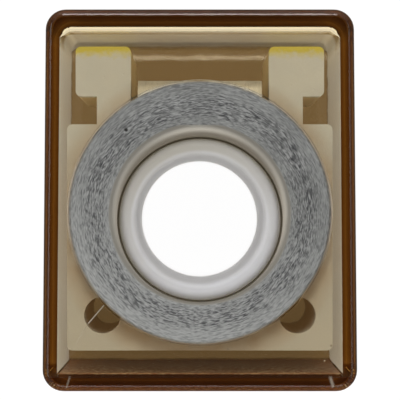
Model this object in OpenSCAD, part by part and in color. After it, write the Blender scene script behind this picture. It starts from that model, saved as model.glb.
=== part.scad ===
// Battery terminal fuse for an M8 stud. A tin-plated strip is folded round a ceramic block
// and carries a contact washer at each end. A tinted transparent case closes the whole.
// The stud axis is Z, the lower contact's face is at Z = 0 and the link faces +Y.

/* [Stud and bushing] */
// Bore that the stud passes through
stud_bore_d = 8.3; // [8.1:0.1:8.9]
// Wall of the insulating bushing
bushing_wall = 1.05; // [0.9:0.05:1.4]
// Distance from each contact's face to the bushing's end
bushing_recess = 0.4; // [0.3:0.05:0.8]
// Rounding of the bushing's outer edges
bushing_outer_round = 0.55; // [0.2:0.05:0.55]
// Rounding of the bushing's inner edges
bushing_inner_round = 0.3; // [0.1:0.05:0.3]
// Gap between the bushing and the metal round it
metal_slip = 0.1; // [0.05:0.01:0.2]
// Gap between the bushing and the ceramic round it
ceramic_slip = 0.05; // [0.03:0.01:0.1]

/* [Contact washers] */
// Width of the ring between its hole and its rim
contact_w = 3.08; // [2.8:0.02:3.6]
// How far the rim's centre lies from the stud axis, towards the link
contact_shift = 0.44; // [0.2:0.02:0.6]
// How far a contact stands out of the case
contact_proud = 0.4; // [0.2:0.05:0.8]
// Bevel round the rim
contact_bevel = 0.12; // [0.05:0.01:0.2]
// Mean width of the rolled edge round the hole
lip_w = 0.52; // [0.4:0.02:0.7]
// Radius of the rolled edge
lip_r = 1; // [0.9:0.05:1.2]
// How far the rolled edge's centre lies from the stud axis
lip_shift = 0.35; // [0.1:0.01:0.36]
// How much the flat at the link side takes off the rolled edge
lip_flat = 0.14; // [0:0.01:0.25]

/* [Fuse strip] */
// Width of the strip
strip_w = 8; // [7:0.1:8.6]
// Thickness of the strip
strip_t = 0.8; // [0.5:0.05:1]
// Inner radius of the two bends
bend_r = 0.4; // [0.3:0.05:0.8]
// How much smaller than a contact's rim the strip's eyelets are, in radius
eyelet_inset = 1.1; // [0.9:0.05:1.4]
// Width of the fusible link
link_w = 2.4; // [1.6:0.1:4]
// Height of the narrow stretch
link_h = 6; // [4:0.1:8]
// Rounding at the ends of the narrow stretch
link_round = 1; // [0.5:0.05:1.1]
// Space between the ceramic and the link
link_gap = 2.07; // [1.5:0.01:2.6]

/* [Ceramic body] */
// Height of the ceramic body
body_h = 12.5; // [11:0.1:16]
// Ceramic outside the contact's rim, at each side
block_side = 0.17; // [0.1:0.01:0.6]
// Ceramic outside the contact's rim, at the back
block_back = 0.5; // [0.3:0.05:1]
// Ceramic between the bore and the chamber
block_front = 0.88; // [0.7:0.02:1.4]
// Gap between the strip and an arm
arm_gap = 0.45; // [0.3:0.05:0.7]
// Width of an arm's neck
neck_w = 2.18; // [1.8:0.02:2.4]
// Length of the notch behind an arm's head
notch_l = 1.8; // [1.4:0.05:2.4]
// Length of an arm's head
head_l = 3.2; // [2.6:0.05:4]
// How far a head stays inside the block's side
head_inset = 0.55; // [0.3:0.05:0.7]
// Rounding of the upright edges
body_round = 0.35; // [0.2:0.05:0.5]
// Gap round the strip in its pockets
pocket_gap = 0.1; // [0.05:0.01:0.15]
// Diameter of the two cored holes
core_d = 2.36; // [1.8:0.02:2.5]
// Distance of a cored hole's centre from the block's side and back
core_inset = 2.27; // [2:0.01:2.4]

/* [Case] */
// Thickness of the top and bottom walls
wall_top = 1; // [0.8:0.05:1.4]
// Thickness of the side walls
wall_side = 0.9; // [0.8:0.05:1.4]
// Thickness of the window wall
wall_window = 1.05; // [0.8:0.05:1.4]
// Gap between the ceramic and the top and bottom walls
body_gap = 0.1; // [0.05:0.01:0.3]
// Gap between the ceramic and a side wall, at the window end
side_gap = 0.46; // [0.3:0.02:0.8]
// Gap between the arms and the window wall
window_gap = 1.32; // [0.8:0.01:2]
// How much wider the case is at its open end, at each side
case_flare = 0.2; // [0:0.01:0.3]
// Gap between a contact and its opening in the case
opening_gap = 0.15; // [0.1:0.01:0.3]
// Rounding of the case's upright outer edges at the window
case_round = 1.3; // [1:0.05:1.8]
// Rounding of the upright inner edges at the window
cavity_round = 0.75; // [0.65:0.05:1.2]
// Rounding where the window wall meets the top and bottom walls, inside
cavity_rim = 0.55; // [0.2:0.05:0.6]
// Rounding of the case's outer rims
rim_round = 0.5; // [0.2:0.05:0.6]

/* [End plate] */
// Thickness of the end plate
end_t = 0.9; // [0.8:0.05:1.4]
// How far the end plate's plug reaches into the case
plug_depth = 0.2; // [0.1:0.05:0.8]
// Gap round the plug
plug_gap = 0.1; // [0.05:0.01:0.2]
// Gap between the ceramic and the plug
back_gap = 1.5; // [0.6:0.05:2]
// Rounding of the upright outer edges at the end plate
end_round = 1.35; // [1:0.05:1.8]

/* [Hidden] */
$fn = 96;
hull_fn = 32;
cut = 1;

// Radii about the stud axis, from the bore outwards
bushing_r = stud_bore_d / 2 + bushing_wall;
hole_r = bushing_r + metal_slip;
body_bore_r = bushing_r + ceramic_slip;
contact_r = hole_r + contact_w;
eyelet_r = contact_r - eyelet_inset;
pocket_r = eyelet_r + pocket_gap;
opening_r = contact_r + opening_gap;

// Levels, from the lower contact's face up
contact_t = contact_proud + wall_top + body_gap;
body_top = contact_t + body_h;
total_h = body_top + contact_t;
cavity_bottom = contact_t - body_gap;
cavity_top = body_top + body_gap;
case_bottom = contact_proud;
case_top = total_h - contact_proud;

// Plan of the ceramic body
block_x = contact_r + block_side;
block_back_y = contact_shift - contact_r - block_back;
block_front_y = body_bore_r + block_front;
arm_x = strip_w / 2 + arm_gap;
neck_x = arm_x + neck_w;
head_x = block_x - head_inset;
head_y = block_front_y + notch_l;
arm_end_y = head_y + head_l;
core_x = block_x - core_inset;
core_y = block_back_y + core_inset;

// Plan of the strip
link_y = block_front_y + link_gap;
fold_y = link_y + strip_t;

// Plan of the case
window_x = block_x + side_gap + wall_side;
window_y = arm_end_y + window_gap + wall_window;
cavity_y = window_y - wall_window;
plug_y = block_back_y - back_gap;
mouth_y = plug_y - plug_depth;
end_y = mouth_y - end_t;
function case_x(y) = window_x + case_flare * (window_y - y) / (window_y - end_y);
function cavity_x(y) = case_x(y) - wall_side;

// A rectangle from corner a to corner b with all four corners rounded
module rounded_plate(a, b, r) {
    translate([a.x + r, a.y]) square([b.x - a.x - 2 * r, b.y - a.y]);
    translate([a.x, a.y + r]) square([b.x - a.x, b.y - a.y - 2 * r]);
    for (x = [a.x + r, b.x - r], y = [a.y + r, b.y - r]) translate([x, y]) circle(r);
}

// An upright post between two levels, with its two rims rounded
module rim_post(r, rim, bottom = case_bottom, top = case_top) {
    translate([0, 0, bottom]) rotate_extrude($fn = hull_fn) intersection() {
        rounded_plate([-r, 0], [r, top - bottom], rim);
        square([r, top - bottom]);
    }
}

// The outside of the closed fuse, which the case and the end plate share
module outside() {
    hull() for (side = [-1, 1]) {
        translate([side * (case_x(window_y) - case_round), window_y - case_round])
            rim_post(case_round, rim_round);
        translate([side * (case_x(end_y) - end_round), end_y + end_round])
            rim_post(end_round, rim_round);
    }
}

// All the space on the far side of the weld
module beyond_weld() {
    translate([-2 * window_x, end_y - cut, -cut])
        cube([4 * window_x, mouth_y - end_y + cut, total_h + 2 * cut]);
}

// The space inside, open at the mouth and with all its edges rounded at the window end
module cavity() {
    back_y = mouth_y - cut;
    round_y = cavity_y - cavity_round;
    hull() {
        translate([0, 0, cavity_bottom]) linear_extrude(cavity_top - cavity_bottom) polygon([
            [-cavity_x(back_y), back_y], [cavity_x(back_y), back_y],
            [cavity_x(round_y), round_y], [-cavity_x(round_y), round_y]
        ]);
        for (side = [-1, 1]) translate([side * (cavity_x(cavity_y) - cavity_round), round_y])
            rim_post(cavity_round, cavity_rim, cavity_bottom, cavity_top);
    }
}

module case() color([0.62, 0.4, 0.18, 0.5]) difference() {
    outside();
    cavity();
    translate([0, contact_shift, -cut]) cylinder(h = total_h + 2 * cut, r = opening_r);
    beyond_weld();
}

module end_plate() color([0.55, 0.34, 0.14, 0.5]) {
    intersection() {
        outside();
        beyond_weld();
    }
    plug_x = cavity_x(mouth_y) - plug_gap;
    root_t = end_t / 2;
    translate([-plug_x, mouth_y - root_t, cavity_bottom + plug_gap])
        cube([2 * plug_x, plug_depth + root_t, cavity_top - cavity_bottom - 2 * plug_gap]);
}

module ceramic_plan() {
    rounded_plate([-block_x, block_back_y], [block_x, block_front_y], body_round);
    for (side = [0, 1]) mirror([side, 0]) {
        translate([arm_x, block_front_y - body_round]) square([neck_w, notch_l + 2 * body_round]);
        rounded_plate([arm_x, head_y], [head_x, arm_end_y], body_round);
    }
}

// The space that an eyelet and its tab take in the ceramic
module strip_pocket() {
    cylinder(h = strip_t + cut, r = pocket_r);
    translate([-strip_w / 2 - pocket_gap, 0, 0])
        cube([strip_w + 2 * pocket_gap, arm_end_y, strip_t + cut]);
}

module ceramic_body() color([0.93, 0.91, 0.86]) difference() {
    translate([0, 0, contact_t]) linear_extrude(body_h) ceramic_plan();
    translate([0, 0, -cut]) cylinder(h = total_h + 2 * cut, r = body_bore_r);
    translate([0, 0, body_top - strip_t]) strip_pocket();
    translate([0, 0, contact_t - cut]) strip_pocket();
    for (side = [-1, 1]) translate([side * core_x, core_y, -cut])
        cylinder(h = total_h + 2 * cut, d = core_d);
}

module stud_bushing() color([0.95, 0.95, 0.94]) {
    inner_x = stud_bore_d / 2 + bushing_inner_round;
    outer_x = bushing_r - bushing_outer_round;
    inner_z = bushing_recess + bushing_inner_round;
    outer_z = bushing_recess + bushing_outer_round;
    rotate_extrude() {
        translate([inner_x, bushing_recess]) square([outer_x - inner_x, total_h - 2 * bushing_recess]);
        translate([stud_bore_d / 2, inner_z]) square([outer_x - stud_bore_d / 2, total_h - 2 * inner_z]);
        translate([inner_x, outer_z]) square([bushing_r - inner_x, total_h - 2 * outer_z]);
        for (z = [inner_z, total_h - inner_z]) translate([inner_x, z]) circle(bushing_inner_round);
        for (z = [outer_z, total_h - outer_z]) translate([outer_x, z]) circle(bushing_outer_round);
    }
}

// The strip's profile in the plane of its fold: two levels joined by a bent web
module fold_shape(reach, top, bottom, r) {
    translate([0, bottom]) square([reach - r, top - bottom]);
    translate([0, bottom + r]) square([reach, top - bottom - 2 * r]);
    for (z = [bottom + r, top - r]) translate([reach - r, z]) circle(r);
}

module fuse_strip() color([0.8, 0.79, 0.76]) difference() {
    union() {
        rotate([90, 0, 90]) translate([0, 0, -strip_w / 2]) linear_extrude(strip_w) difference() {
            fold_shape(fold_y, body_top, contact_t, strip_t + bend_r);
            fold_shape(link_y, body_top - strip_t, contact_t + strip_t, bend_r);
        }
        translate([0, 0, contact_t]) cylinder(h = strip_t, r = eyelet_r);
        translate([0, 0, body_top - strip_t]) cylinder(h = strip_t, r = eyelet_r);
    }
    translate([0, 0, -cut]) cylinder(h = total_h + 2 * cut, r = hole_r);
    link_cuts();
}

// The two cuts that leave the link between them
module link_cuts() {
    depth = (strip_w - link_w) / 2;
    for (side = [0, 1]) mirror([side, 0, 0])
        translate([0, fold_y + cut, total_h / 2]) rotate([90, 0, 0]) linear_extrude(strip_t + 2 * cut)
            rounded_plate([link_w / 2, -link_h / 2], [link_w / 2 + 2 * depth, link_h / 2], link_round);
}

// A washer with its face up at z = 0 and its body below
module contact() {
    difference() {
        translate([0, contact_shift, 0]) rotate_extrude() polygon([
            [0, -contact_t], [contact_r - contact_bevel, -contact_t],
            [contact_r, contact_bevel - contact_t], [contact_r, -contact_bevel],
            [contact_r - contact_bevel, 0], [0, 0]
        ]);
        translate([0, 0, -contact_t - cut]) cylinder(h = contact_t + 2 * cut, r = hole_r);
        intersection() {
            translate([0, lip_shift, 0]) lip_cutter();
            flat_y = lip_shift + hole_r + lip_w - lip_flat;
            translate([-contact_r, -contact_r, -contact_t])
                cube([2 * contact_r, contact_r + flat_y, 2 * contact_t]);
        }
    }
}

// What the rolled edge takes off the washer's face
module lip_cutter() {
    lip_edge_r = hole_r + lip_w;
    rotate_extrude() difference() {
        translate([0, -lip_r]) square([lip_edge_r, lip_r + cut]);
        translate([lip_edge_r, -lip_r]) circle(lip_r);
    }
}

module upper_contact() color([0.72, 0.72, 0.71]) translate([0, 0, total_h]) contact();

module lower_contact() color([0.72, 0.72, 0.71]) mirror([0, 0, 1]) contact();

case();
end_plate();
ceramic_body();
stud_bushing();
fuse_strip();
upper_contact();
lower_contact();
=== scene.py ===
# %% [markdown]
# # A battery terminal fuse, dressed in Blender
# The real object is a small block that slips over a battery's threaded stud. Two tinned
# contact washers sit on a ceramic body, a plastic bushing lines the hole, and a folded metal
# strip joins the washers and melts when the current is too high. All of it sits in an amber
# see-through case that is closed at one end by a welded plate.
# The solids arrive finished and at their real size, so this lesson is about light and
# surface: how to make clear plastic, fired ceramic, moulded bushing and scuffed tin.

# %% Load the solids
import bpy
import math
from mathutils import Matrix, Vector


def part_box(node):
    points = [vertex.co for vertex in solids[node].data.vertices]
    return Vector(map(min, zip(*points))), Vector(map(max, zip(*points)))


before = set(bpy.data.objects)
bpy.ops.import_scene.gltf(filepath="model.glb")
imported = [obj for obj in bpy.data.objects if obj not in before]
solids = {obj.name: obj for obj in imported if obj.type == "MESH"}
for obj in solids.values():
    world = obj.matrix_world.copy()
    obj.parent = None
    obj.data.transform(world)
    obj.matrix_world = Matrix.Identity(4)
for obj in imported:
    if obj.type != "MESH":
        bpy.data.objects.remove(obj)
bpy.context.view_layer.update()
print("solids:", ", ".join(sorted(solids)))

# %% [markdown]
# Everything below is thought out in millimetres, as the maker of so small a part would, and
# Blender works in metres. One constant turns the first into the second. The few places that
# the finishes need are measured from the solids, so that they stay true if a size changes.

# %% Sizes in millimetres
MM = 0.001


def span(name, axis):
    """Lowest and highest place of a solid along an axis, in millimetres."""
    low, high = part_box(name)
    return low[axis] / MM, high[axis] / MM


contact_top = span("upper_contact", 2)[1]
ceramic_bottom, ceramic_top = span("ceramic_body", 2)
head_end = span("ceramic_body", 1)[1]
case_top = span("case", 2)[1]
case_half = span("case", 0)[1]
case_bottom = span("case", 2)[0]
cavity_bottom, cavity_top = case_bottom + 1, case_top - 1
weld_y = span("case", 1)[0]
plug_y = span("end_plate", 1)[1]
cavity_end = span("case", 1)[1] - 1.05
bush_radius = span("stud_bushing", 0)[1]
bore_radius = 4.15
print(f"stack {contact_top:.2f} mm high, case {2 * case_half:.2f} mm wide")

# %% [markdown]
# ## Camera
# The picture looks straight down on the upper washer from about fifteen centimetres, with a
# long lens. The part isn't in the middle of the frame, because the picture was cut from a
# larger one. A lens shift gives that offset without tilting the camera.

# %% Camera
PICTURE = 400
EYE = (-0.28, 0.416, 145.5)
FOCAL_PIXELS = 2036
AXIS_PIXEL = (195.5, 213)
SENSOR = 36

camera_data = bpy.data.cameras.new("camera")
camera_data.sensor_width = SENSOR
camera_data.lens = FOCAL_PIXELS / PICTURE * SENSOR
camera_data.shift_x = (PICTURE / 2 - AXIS_PIXEL[0]) / PICTURE
camera_data.shift_y = (AXIS_PIXEL[1] - PICTURE / 2) / PICTURE
camera_data.clip_start = 0.01
camera_data.clip_end = 10
camera = bpy.data.objects.new("camera", camera_data)
camera.location = [place * MM for place in EYE]
bpy.context.scene.collection.objects.link(camera)
bpy.context.scene.camera = camera
print(f"lens {camera_data.lens:.1f} mm, shift {camera_data.shift_x:.4f}, {camera_data.shift_y:.4f}")


def seen_at(pixel, height):
    """The place in millimetres, at a height, that a pixel of the picture shows."""
    scale = FOCAL_PIXELS / (EYE[2] - height)
    across = EYE[0] + (pixel[0] - AXIS_PIXEL[0]) / scale
    along = EYE[1] + (AXIS_PIXEL[1] - pixel[1]) / scale
    return across, along


# %% [markdown]
# ## Shader sums as Python
# A finish is a small network of nodes. Written by hand it soon gets long, so one class wraps
# a node's output. Adding, multiplying or comparing such outputs then builds the Math nodes,
# and a formula in the code reads as a formula. Colours go through Mix nodes, because a Math
# node would turn them grey.


# %% Wires and finishes
class Wire:
    """An output of a node. Sums on it add the Math nodes that work them out."""

    def __init__(self, finish, socket):
        self.finish = finish
        self.socket = socket

    def math(self, operation, *values):
        """Adds a Math node that works on this wire and the given values."""
        inputs = dict(enumerate((self,) + values))
        return self.finish.node("ShaderNodeMath", {"operation": operation}, inputs)

    def __add__(self, other):
        return self.math("ADD", other)

    def __radd__(self, other):
        return self.math("ADD", other)

    def __sub__(self, other):
        return self.math("SUBTRACT", other)

    def __rsub__(self, other):
        return self.math("MULTIPLY_ADD", -1, other)

    def __mul__(self, other):
        return self.math("MULTIPLY", other)

    def __rmul__(self, other):
        return self.math("MULTIPLY", other)

    def __truediv__(self, other):
        return self.math("DIVIDE", other)

    def __pow__(self, other):
        return self.math("POWER", other)

    def lower(self, other):
        """The lower of two values."""
        return self.math("MINIMUM", other)

    def higher(self, other):
        """The higher of two values."""
        return self.math("MAXIMUM", other)

    def size(self):
        """The value without its sign."""
        return self.math("ABSOLUTE")

    def step(self, start, end):
        """0 up to start, 1 from end on, and an even slope between. Start may be the higher one."""
        inputs = {"Value": self, "From Min": start, "From Max": end}
        return self.finish.node("ShaderNodeMapRange", {"clamp": True}, inputs)


class Finish:
    """A material, or the world, in the making."""

    def __init__(self, name, kind=bpy.data.materials):
        self.block = kind.new(name)
        self.block.use_nodes = True
        self.tree = self.block.node_tree
        self.tree.nodes.clear()
        metres = self.node("ShaderNodeTexCoord", out="Object")
        scaling = {0: metres, "Scale": 1 / MM}
        self.place = self.node("ShaderNodeVectorMath", {"operation": "SCALE"}, scaling)
        self.x = self.part_of(self.place, "X")
        self.y = self.part_of(self.place, "Y")
        self.z = self.part_of(self.place, "Z")

    def node(self, kind, settings=None, inputs=None, out=0):
        """Adds a node, with its settings first and then a value or wire for each socket."""
        node = self.tree.nodes.new(kind)
        for name, value in (settings or {}).items():
            setattr(node, name, value)
        for name, value in (inputs or {}).items():
            socket = self.socket(node.inputs, name)
            if isinstance(value, Wire):
                self.tree.links.new(value.socket, socket)
            else:
                socket.default_value = value
        if not node.outputs:
            return None
        return Wire(self, self.socket(node.outputs, out))

    @staticmethod
    def socket(sockets, name):
        """Finds a socket by its number, its name or its identifier, among those in use."""
        if isinstance(name, int):
            return sockets[name]
        in_use = [socket for socket in sockets if socket.enabled]
        return next(socket for socket in in_use if name in (socket.identifier, socket.name))

    def part_of(self, vector, letter):
        """One of a vector's three numbers."""
        return self.node("ShaderNodeSeparateXYZ", inputs={0: vector}, out=letter)

    def vector(self, x, y, z):
        """A vector from three numbers."""
        return self.node("ShaderNodeCombineXYZ", inputs={"X": x, "Y": y, "Z": z})

    def mix(self, share, first, second):
        """Goes from the first colour to the second as the share goes from 0 to 1."""
        inputs = {"Factor_Float": share, "A_Color": first, "B_Color": second}
        return self.node("ShaderNodeMix", {"data_type": "RGBA"}, inputs, "Result_Color")

    def blend(self, share, first, second):
        """Goes from the first shader to the second as the share goes from 0 to 1."""
        return self.node("ShaderNodeMixShader", inputs={"Fac": share, 1: first, 2: second})

    def noise(self, scale, detail=2, roughness=0.5, place=None):
        """Cloudy noise about 0.5 with so many swells to the millimetre."""
        inputs = {"Vector": place or self.place, "Scale": scale, "Detail": detail, "Roughness": roughness}
        return self.node("ShaderNodeTexNoise", inputs=inputs)

    def specks(self, spacing, radius, share):
        """1 inside scattered round specks, a given share of a grid with that spacing."""
        inputs = {"Vector": self.place, "Scale": 1 / spacing}
        distance = self.node("ShaderNodeTexVoronoi", inputs=inputs, out="Distance")
        colour = self.node("ShaderNodeTexVoronoi", inputs=inputs, out="Color")
        chosen = self.part_of(colour, "X").step(share, share - 0.02)
        return distance.step(radius / spacing, radius / spacing * 0.6) * chosen

    def scratch(self, start, end, width):
        """1 on a straight scratch between two places seen from above, fading at its edges."""
        run = end[0] - start[0], end[1] - start[1]
        length = math.hypot(*run)
        along_x, along_y = run[0] / length, run[1] / length
        from_x = self.x - start[0]
        from_y = self.y - start[1]
        along = from_x * along_x + from_y * along_y
        across = (from_y * along_x - from_x * along_y).size()
        tip = along.step(0, length * 0.1) * along.step(length, length * 0.9)
        return across.step(width, width * 0.3) * tip

    def radius(self, centre):
        """Distance from an upright axis through a place."""
        across = self.x - centre[0]
        along = self.y - centre[1]
        return (across * across + along * along) ** 0.5

    def bump(self, height, depth):
        """A normal for a relief of the given height, where 1 stands for a depth in millimetres."""
        inputs = {"Height": height, "Distance": depth * MM, "Strength": 1.0}
        return self.node("ShaderNodeBump", inputs=inputs)

    def shader(self, **inputs):
        """The Principled shader, its sockets named with low lines for spaces."""
        named = {name.replace("_", " "): value for name, value in inputs.items()}
        return self.node("ShaderNodeBsdfPrincipled", inputs=named)

    def done(self, surface, volume=None, output="ShaderNodeOutputMaterial"):
        """Ends the network with its output node and gives the material or world back."""
        inputs = {"Surface": surface}
        if volume:
            inputs["Volume"] = volume
        self.node(output, inputs=inputs)
        print(f"{self.block.name}: {len(self.tree.nodes)} nodes")
        return self.block


def tone(red, green, blue):
    """A colour as a screen shows it, 0 to 255, in the linear numbers that shaders take."""
    linear = [(value / 255 + 0.055) ** 2.4 / 1.055**2.4 for value in (red, green, blue)]
    return (*linear, 1)


# %% [markdown]
# ## Floor and light
# The floor is plain pale paper. Seen straight, in a mirror or through the clear plastic, it
# glows, so that it reads as white. The white glow fades out where the part stands close over
# it. There the paper is tinted tea, and seen that way it glows tea: a painted shadow, darker
# towards the end plate. In a mirror the paper glows dimmer, and beyond the end plate dark,
# which is painted shade. The glow lights nothing but the stud bore, which stands on it like a
# short tube on a lamp.
# The room round the part is a light tent: bright from the side, dark overhead, because the
# space overhead is what the flat clear plastic mirrors to the camera.

# %% Floor
FLOOR_HALF = 0.6
SHADOW_REACH = 1.3
bpy.ops.object.select_all(action="DESELECT")
bpy.ops.mesh.primitive_plane_add(size=2 * FLOOR_HALF, location=(0, 0, 0))
floor = bpy.context.active_object
floor.name = "floor"

paper = Finish("paper")
openness = paper.node("ShaderNodeAmbientOcclusion", {"samples": 8}, {"Distance": SHADOW_REACH * MM}, "AO")
under = openness.step(0.7, 0.3)
bright_sheet = paper.node("ShaderNodeBsdfDiffuse", inputs={"Color": tone(214, 214, 214)})
tea_shadow_sheet = paper.node("ShaderNodeBsdfDiffuse", inputs={"Color": tone(158, 138, 106)})
white_glow = paper.node("ShaderNodeEmission", inputs={"Strength": 1.12})
tea_shadow_glow = paper.node("ShaderNodeEmission", inputs={"Color": tone(123, 103, 74)})
dim_glow = paper.node("ShaderNodeEmission", inputs={"Color": tone(112, 86, 60)})
dark_reflection_glow = paper.node("ShaderNodeEmission", inputs={"Color": tone(52, 26, 14)})
by_camera = paper.node("ShaderNodeLightPath", out="Is Camera Ray")
by_mirror = paper.node("ShaderNodeLightPath", out="Is Glossy Ray")
through_plastic = paper.node("ShaderNodeLightPath", out="Is Transmission Ray")
bounced = paper.node("ShaderNodeLightPath", out="Diffuse Depth")
within = paper.node("ShaderNodeLightPath", out="Transmission Depth").lower(1)
straight = by_camera.higher(by_mirror).higher(through_plastic) * (1 - bounced.lower(1))
in_bore = paper.radius((0, 0)).step(bore_radius + 0.1, bore_radius - 0.1)
white_share = (straight * openness.step(0.45, 1)).higher(in_bore) * 0.86
# Painted shadow under the case: tea-tinted paper, and a tea glow that is darker towards the end plate
lit = paper.blend(under, bright_sheet, tea_shadow_sheet)
back_shade = paper.y.step(-1, -6.6) * 0.42
lit = paper.blend(straight * under * (0.92 - back_shade), lit, tea_shadow_glow)
lit = paper.blend(white_share, lit, white_glow)
# Painted shade in mirrors: beyond the end plate the paper glows dark
mirrored_glow = paper.blend(paper.y.step(-11, -13), dim_glow, dark_reflection_glow)
lit = paper.blend(by_mirror * (1 - within) * (1 - in_bore) * 0.85, lit, mirrored_glow)
floor.data.materials.append(paper.done(lit))

# %% Lights
LAMP_REACH = 0.4
TOWARDS = {"back": 90, "left": 180, "front": 270, "right": 0}

tent = Finish("light_tent", bpy.data.worlds)
heading = tent.node("ShaderNodeTexCoord", out="Generated")
upward = tent.part_of(heading, "Z")
sideways = tent.part_of(heading, "X").size()
mirrored = tent.node("ShaderNodeLightPath", out="Is Glossy Ray")
outside = 1 - tent.node("ShaderNodeLightPath", out="Transmission Depth").lower(1)
roof = tent.node("ShaderNodeBackground", inputs={"Color": (0.97, 0.98, 1, 1), "Strength": 0.04})
walls = tent.node("ShaderNodeBackground", inputs={"Color": (0.97, 0.98, 1, 1), "Strength": 0.86})
drapes = tent.node("ShaderNodeBackground", inputs={"Color": (1, 0.86, 0.7, 1), "Strength": 0.22})
cloth = tent.blend(upward.step(0.9, 0.6), roof, walls)
in_front = tent.part_of(heading, "Y").step(-0.2, -0.7)
low_wall = upward.step(0.75, 0.5) * (0.4 + sideways.step(0.3, 0.8).higher(in_front) * 0.55)
cloth = tent.blend(mirrored * outside * low_wall, cloth, drapes)
bpy.context.scene.world = tent.done(cloth, output="ShaderNodeOutputWorld")


def soft_box(side, tilt, size, power):
    """A square lamp on one side, so many degrees off the vertical, that faces the part."""
    lamp = bpy.data.lights.new(side + "_box", "AREA")
    lamp.shape = "SQUARE"
    lamp.size = size
    lamp.energy = power
    holder = bpy.data.objects.new(side + "_box", lamp)
    across = math.radians(TOWARDS[side])
    down = math.radians(tilt)
    reach = LAMP_REACH * math.sin(down)
    holder.location = (reach * math.cos(across), reach * math.sin(across), LAMP_REACH * math.cos(down))
    holder.rotation_euler = (down, 0, across + math.pi / 2)
    bpy.context.scene.collection.objects.link(holder)
    print(f"{side} box: {power} W at {tilt} degrees off the vertical")


soft_box("back", 38, 0.13, 0.3)
soft_box("left", 40, 0.24, 0.17)
soft_box("right", 40, 0.24, 0.09)
soft_box("front", 40, 0.24, 0.17)

# %% [markdown]
# ## Amber plastic
# The case is clear plastic dyed amber. A dye takes light away along its path, so a thin plate
# looks like weak tea and a deep wall, seen from its edge, like dark beer. Volume absorption
# does just that, and one finish then serves thin and deep walls alike. Light from the lamps
# would need bent paths to get in, which is slow to work out and noisy, so for lamp rays
# alone the surface is plainly open, and the dye still tints them. The case and its end plate
# are welded, so where they touch the surface is left out and light goes straight on.

# %% Amber plastic
DYE_PER_MM = (0.013, 0.0745, 0.235)
FLANK = 9.11
FLANK_SLOPE = 0.2 / 24.54
RIM = 0.5


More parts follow.
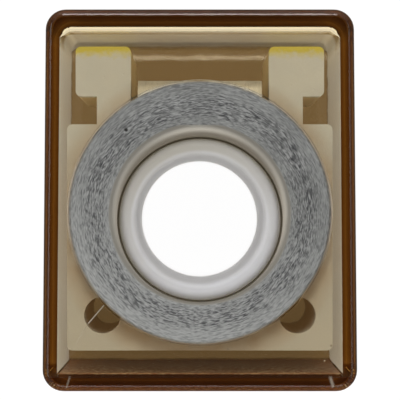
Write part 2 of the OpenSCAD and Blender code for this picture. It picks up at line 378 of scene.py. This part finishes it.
def amber_plastic():
    finish = Finish("amber_plastic")
    waves = finish.noise(0.35, 2)
    grain = finish.noise(9, 2)
    haze = finish.noise(1.2, 3).step(0.35, 0.75)
    start = seen_at((105, 304), case_top)
    middle = seen_at((87, 325), case_top)
    end = seen_at((75, 345), case_top)
    long_scratch = finish.scratch(start, middle, 0.05)
    faint_scratch = finish.scratch(middle, end, 0.05) * 0.35
    dust = finish.specks(1.6, 0.07, 0.25)
    on_top = finish.z.step(case_top - 0.3, case_top - 0.2)
    left_nick = finish.scratch(seen_at((70, 376), case_top), seen_at((66, 389), case_top), 0.09)
    right_nick = finish.scratch(seen_at((330, 376), case_top), seen_at((333.5, 388), case_top), 0.15)
    marks = (long_scratch + faint_scratch + left_nick * 0.4 + right_nick * 0.6) * on_top
    marks = marks.higher(dust * 0.5)
    relief = waves * 1.2 + grain * 0.05 - marks * 0.6
    plastic = finish.shader(
        Base_Color=(1, 1, 1, 1),
        Roughness=0.03 + haze * 0.03 + marks * 0.4,
        IOR=1.58,
        Transmission_Weight=1.0,
        Normal=finish.bump(relief, 0.01),
    )
    scuff = finish.node("ShaderNodeBsdfDiffuse", inputs={"Color": tone(226, 216, 196)})
    worn = finish.blend(marks * 0.45, plastic, scuff)
    # The cavity's walls: a milky veil of painted light, for the side light that comes in through the walls, brighter
    # towards the top and streaked by drag lines of the core; high on the window wall it is a brown painted shade
    # instead
    flank = finish.x.size() + finish.y * FLANK_SLOPE
    between_walls = flank.step(FLANK + 0.2, FLANK + 0.14) * finish.y.step(cavity_end + 0.2, cavity_end + 0.14)
    in_cavity = finish.z.step(cavity_bottom - 0.05, cavity_bottom) * finish.z.step(cavity_top + 0.05, cavity_top)
    off_plates = finish.z.step(cavity_bottom + 0.03, cavity_bottom + 0.1) * finish.z.step(cavity_top, cavity_top - 0.06)
    on_wall = between_walls * off_plates * finish.y.step(plug_y + 0.02, plug_y + 0.05)
    at_window = finish.y.step(cavity_end - 1.4, cavity_end - 0.7)
    shiny_edge = at_window * finish.z.step(cavity_top - 1.1, cavity_top - 0.5)
    drag = finish.noise(1, 2, 0.6, finish.vector(finish.x * 2, finish.y * 0.25, finish.z * 6))
    depth = finish.z.step(cavity_bottom + 1, cavity_top - 1)
    from_inside = finish.node("ShaderNodeNewGeometry", out="Backfacing")
    veil_strength = (0.75 + depth * 0.2) * (0.85 + drag * 0.3) * (1 - at_window * 0.4)
    painted_light_veil = on_wall * veil_strength * (1 - shiny_edge) * (1 - from_inside)
    lit_through = finish.node("ShaderNodeBsdfTranslucent", inputs={"Color": tone(244, 246, 255)})
    lit_across = finish.node("ShaderNodeBsdfDiffuse", inputs={"Color": tone(244, 246, 255)})
    # Painted shade: a brown veil on the upper part of the window wall
    painted_window_shade = finish.node("ShaderNodeBsdfDiffuse", inputs={"Color": tone(196, 174, 140)})
    upper_window = at_window * finish.z.step(cavity_top - 5.4, cavity_top - 3.6)
    veil = finish.blend(upper_window, finish.blend(0.45, lit_through, lit_across), painted_window_shade)
    with_wall_light = finish.blend(painted_light_veil, worn, veil)
    # The end plate's inner face: rough and brown, with lighter crumbs higher up and pale specks, fainter from behind
    on_plug = (finish.y - plug_y).size().step(0.03, 0.02) * flank.size().step(FLANK + 0.05, FLANK) * in_cavity
    crumbs = finish.noise(3.2, 4, 0.65).step(0.5, 0.6) * finish.z.step(4, 13)
    stain = finish.mix(crumbs, tone(142, 92, 52), tone(214, 184, 146))
    stain = finish.mix(finish.specks(1.1, 0.09, 0.3), stain, tone(236, 224, 206))
    brown_plate_face = finish.shader(Base_Color=stain, Roughness=0.75)
    sealed = finish.blend(on_plug * (0.85 - from_inside * 0.5), with_wall_light, brown_plate_face)
    # Where the solids are welded light goes straight on. Inside the rounded foot it goes on dimmed, a painted shade for
    # the floor's shadow under the walls, darker at the window wall and the end plate than at the sides
    weld = (finish.y - weld_y).size().step(0.012, 0.006)
    foot = finish.z.step(case_bottom + RIM + 0.01, case_bottom + RIM - 0.02) * from_inside
    side_wall = flank.step(FLANK - 0.05, FLANK + 0.1)
    window_wall = finish.y.step(cavity_end - 0.5, cavity_end + 0.3)
    back_wall = finish.y.step(plug_y + 0.1, plug_y - 0.05)
    straight_on = finish.node("ShaderNodeBsdfTransparent")
    for wall, passed in (
        (side_wall, (0.33, 0.3, 0.26, 1)),
        (window_wall, (0.16, 0.14, 0.12, 1)),
        (back_wall, (0.14, 0.1, 0.08, 1)),
    ):
        foot_shade = finish.node("ShaderNodeBsdfTransparent", inputs={"Color": passed})
        straight_on = finish.blend(wall * foot, straight_on, foot_shade)
    joined = finish.blend(weld.higher(foot), sealed, straight_on)
    lamp_ray = finish.node("ShaderNodeLightPath", out="Is Shadow Ray")
    open_way = finish.node("ShaderNodeBsdfTransparent", inputs={"Color": (0.86, 0.86, 0.86, 1)})
    surface = finish.blend(lamp_ray, joined, open_way)
    density = max(DYE_PER_MM) / MM
    passed = [1 - dye / max(DYE_PER_MM) for dye in DYE_PER_MM]
    dye = finish.node("ShaderNodeVolumeAbsorption", inputs={"Color": (*passed, 1), "Density": density})
    return finish.done(surface, dye)


# %% [markdown]
# ## Fired ceramic
# The body is pressed and fired ceramic: matt, nearly white, with fine pores and a few darker
# grains. Both arm ends carry a yellow stain that fades out in a ragged line.

# %% Fired ceramic
STAIN_DEPTH = 0.45
arm_start = 6.2
head_half = span("ceramic_body", 0)[1] - 0.6
HOLE_INSET = 2.27
HOLE_PLACE = (span("ceramic_body", 0)[1] - HOLE_INSET, span("ceramic_body", 1)[0] + HOLE_INSET)


def fired_ceramic():
    finish = Finish("fired_ceramic")
    cloud = finish.noise(0.5, 3)
    grain = finish.noise(7, 3)
    painted_falloff = finish.y.step(6, -6)
    pores = finish.specks(0.45, 0.06, 0.3)
    flecks = finish.specks(1.4, 0.09, 0.12)
    body = finish.mix(cloud.step(0.3, 0.7), tone(216, 220, 226), tone(225, 228, 232))
    body = finish.mix(grain.step(0.4, 0.75) * 0.3, body, tone(204, 202, 198))
    # Painted shade: the body darkens towards the hole end
    body = finish.mix(painted_falloff, body, tone(208, 206, 204))
    body = finish.mix(flecks * 0.6, body, tone(120, 108, 92))
    ragged = finish.y + (finish.noise(2, 3, 0.65) - 0.5) * 1.1
    stain = ragged.step(head_end - STAIN_DEPTH - 0.3, head_end - STAIN_DEPTH + 0.25)
    body = finish.mix(stain, body, tone(222, 211, 96))
    # Painted shadow: a warm brown ring round the washer, fading outwards
    painted_ring_shadow = finish.radius((0, 0)).step(9.9, 8.5) * (0.4 + cloud.step(0.4, 0.65) * 0.25)
    body = finish.mix(painted_ring_shadow, body, tone(176, 140, 98))
    shaft = (finish.x.size()).step(head_half, head_half - 0.1) * finish.y.step(arm_start, arm_start + 0.1)
    shaft = shaft * finish.y.step(head_end - 0.05, head_end - 0.15)
    # Painted amber light: the arms' side walls turn warm and a little lighter below the top
    painted_depth_light = finish.z.step(ceramic_top - 0.05, ceramic_top - 2) * shaft
    body = finish.mix(painted_depth_light, body, tone(244, 222, 176))
    relief = grain * 0.5 - pores
    # Painted light: the cored holes glow dark amber below the top
    from_left_hole = finish.radius((-HOLE_PLACE[0], HOLE_PLACE[1]))
    in_hole = from_left_hole.lower(finish.radius(HOLE_PLACE)).step(1.3, 1.22)
    in_hole = in_hole * finish.z.step(ceramic_top - 0.05, ceramic_top - 1.5)
    return finish.done(
        finish.shader(
            Emission_Color=finish.mix(in_hole, (0, 0, 0, 1), tone(46, 33, 16)),
            Emission_Strength=1.0,
            Base_Color=body,
            Roughness=0.55 + grain * 0.2,
            Normal=finish.bump(relief, 0.015),
        )
    )


# %% [markdown]
# ## Moulded bushing
# The bushing is opaque white plastic with a satin skin. It is the plainest finish, so what
# makes it real is small: a slow change of tone, a fine skin and faint rings from the stud.

# %% Moulded bushing
def moulded_bushing():
    finish = Finish("moulded_bushing")
    cloud = finish.noise(0.6, 2)
    skin = finish.noise(12, 2)
    rub_place = finish.vector(finish.x * 0.4, finish.y * 0.4, finish.z * 5)
    rubbing = finish.noise(1, 3, place=rub_place).step(0.55, 0.75)
    in_bore = finish.radius((0, 0)).step(bush_radius - 0.7, bush_radius - 0.9)
    painted_lip_shade = (finish.y * 0.9 - finish.x * 0.3).step(-4, 4.5)
    colour = finish.mix(cloud.step(0.35, 0.7), tone(216, 214, 214), tone(222, 221, 221))
    # Painted shade from the washer's lip: darker towards the strip and the left, half as much in the bore
    colour = finish.mix(painted_lip_shade * (1 - in_bore * 0.5), colour, tone(184, 179, 168))
    colour = finish.mix(rubbing * in_bore * 0.35, colour, tone(186, 182, 176))
    relief = skin * 0.4 - rubbing * in_bore * 0.4
    # Painted light: the outer edge, deep beside the washer, glows faintly
    glowing_edge = finish.radius((0, 0)).step(bush_radius - 0.2, bush_radius)
    return finish.done(
        finish.shader(
            Emission_Color=finish.mix(glowing_edge, (0, 0, 0, 1), tone(66, 62, 52)),
            Emission_Strength=1.0,
            Base_Color=colour,
            Roughness=0.42 + skin * 0.15,
            Subsurface_Weight=0.7,
            Subsurface_Radius=(1, 1, 0.9),
            Subsurface_Scale=2 * MM,
            Normal=finish.bump(relief, 0.006),
        )
    )


# %% [markdown]
# ## Tinned strip
# The strip is rolled and tinned sheet. Rolling leaves fine lines along it and tin gives it a
# soft shine.

# %% Tinned strip
def tinned_strip():
    finish = Finish("rolled_tin")
    rolled = finish.vector(finish.x * 9, finish.y * 0.8, finish.z * 0.8)
    lines = finish.noise(1, 3, place=rolled)
    cloud = finish.noise(0.8, 3)
    colour = finish.mix(cloud.step(0.3, 0.7), tone(192, 190, 184), tone(220, 218, 212))
    colour = finish.mix(lines.step(0.55, 0.8) * 0.5, colour, tone(140, 138, 134))
    return finish.done(
        finish.shader(
            Base_Color=colour,
            Metallic=0.9,
            Roughness=0.48 + lines * 0.2,
            Normal=finish.bump(lines + cloud * 2, 0.006),
        )
    )


# %% [markdown]
# ## Scuffed tin
# The washers are tinned too, but their flat faces have been turned against a nut and a
# terminal, which left dense streaks round the axis. The rolled lip beside the hole was never
# touched and is still smooth. Noise stretched along the turn gives the streaks: the noise is
# read at a place made of the direction from the axis, which changes slowly along a turn, and
# the radius, which changes fast across it.

# %% Scuffed tin
FACE_CENTRE = (0, 0.44)
LIP_CENTRE = (0, 0.35)
LIP_RADIUS = 5.82
LIP_FLAT = 6.03


def turned(finish, centre, along, across, wander=0.0):
    """A place for noise that runs round an upright axis: slow along the turn, fast across it."""
    radius = finish.radius(centre)
    drift = (finish.noise(0.5, 1) - 0.5) * wander
    side = (finish.x - centre[0]) / radius * along
    ahead = (finish.y - centre[1]) / radius * along
    return finish.vector(side, ahead, (radius + drift) * across)


def scuffed_tin():
    finish = Finish("scuffed_tin_face")
    from_centre = finish.radius(FACE_CENTRE)
    arcs = finish.noise(1, 1, 0.5, turned(finish, FACE_CENTRE, 15, 12, 0.1))
    cross_arcs = finish.noise(1, 1, 0.5, turned(finish, (0.15, 0), 21, 15, 0.1))
    broad = finish.noise(1, 2, 0.5, turned(finish, FACE_CENTRE, 3, 2.2, 0.3))
    patch = finish.noise(0.5, 2)
    track = from_centre.step(7.75, 7.2) * from_centre.step(6.0, 6.3)
    lip_edge = finish.radius(LIP_CENTRE).step(LIP_RADIUS + 0.05, LIP_RADIUS - 0.05)
    lip = lip_edge * finish.y.step(LIP_FLAT + 0.05, LIP_FLAT - 0.05)
    worn = 1 - lip
    nick_place = seen_at((126, 130), contact_top)
    nick = finish.radius(nick_place).step(0.16, 0.06)
    tin = finish.mix(patch.step(0.35, 0.65), tone(162, 163, 160), tone(178, 179, 176))
    # Painted light: the face is lighter towards the end plate and the left
    tin = finish.mix((finish.x * -0.8 - finish.y * 2).step(-6, 14), tin, tone(202, 203, 200))
    heavy = track * (0.5 + broad.step(0.4, 0.62) * 0.5)
    streaked = finish.mix(heavy * 0.4, tin, tone(122, 123, 123))
    streaked = finish.mix(arcs.step(0.52, 0.62) * (0.34 + heavy * 0.4), streaked, tone(76, 76, 78))
    streaked = finish.mix(cross_arcs.step(0.53, 0.63) * (0.22 + heavy * 0.4), streaked, tone(70, 70, 72))
    streaked = finish.mix(cross_arcs.step(0.45, 0.36) * (0.26 + heavy * 0.24), streaked, tone(228, 228, 226))
    # The smooth lip, with painted shade: darker down towards the hole, and towards the strip and the right
    shaded_lip = finish.mix(finish.radius((0, 0)).step(5.3, 5.7), tone(180, 173, 160), tone(204, 199, 187))
    shaded_lip = finish.mix((finish.x * 0.7 + finish.y).step(-6, 8) * 0.35, shaded_lip, tone(150, 143, 130))
    colour = finish.mix(lip, streaked, shaded_lip)
    colour = finish.mix(nick, colour, tone(60, 58, 56))
    relief = (arcs + cross_arcs) * worn * (0.4 + heavy) - nick * 3
    return finish.done(
        finish.shader(
            Base_Color=colour,
            Metallic=0.9,
            Roughness=0.4 + worn * (arcs * 0.15 + cross_arcs * 0.15),
            Normal=finish.bump(relief, 0.012),
        )
    )


# %% [markdown]
# ## Dressing the solids
# Each solid keeps its shape and takes its finish in its own material slot.

# %% Dress the solids
amber = amber_plastic()
tin = scuffed_tin()
finishes = {
    "case": amber,
    "end_plate": amber,
    "ceramic_body": fired_ceramic(),
    "stud_bushing": moulded_bushing(),
    "fuse_strip": tinned_strip(),
    "upper_contact": tin,
    "lower_contact": tin,
}
for name, material in finishes.items():
    slots = solids[name].data.materials
    for index in range(len(slots)):
        slots[index] = material
    print(name, "wears", material.name)

# %% [markdown]
# ## Colour view
# The colours are shown as they are, with the standard view transform.

# %% Colour view
bpy.context.scene.view_settings.view_transform = "Standard"
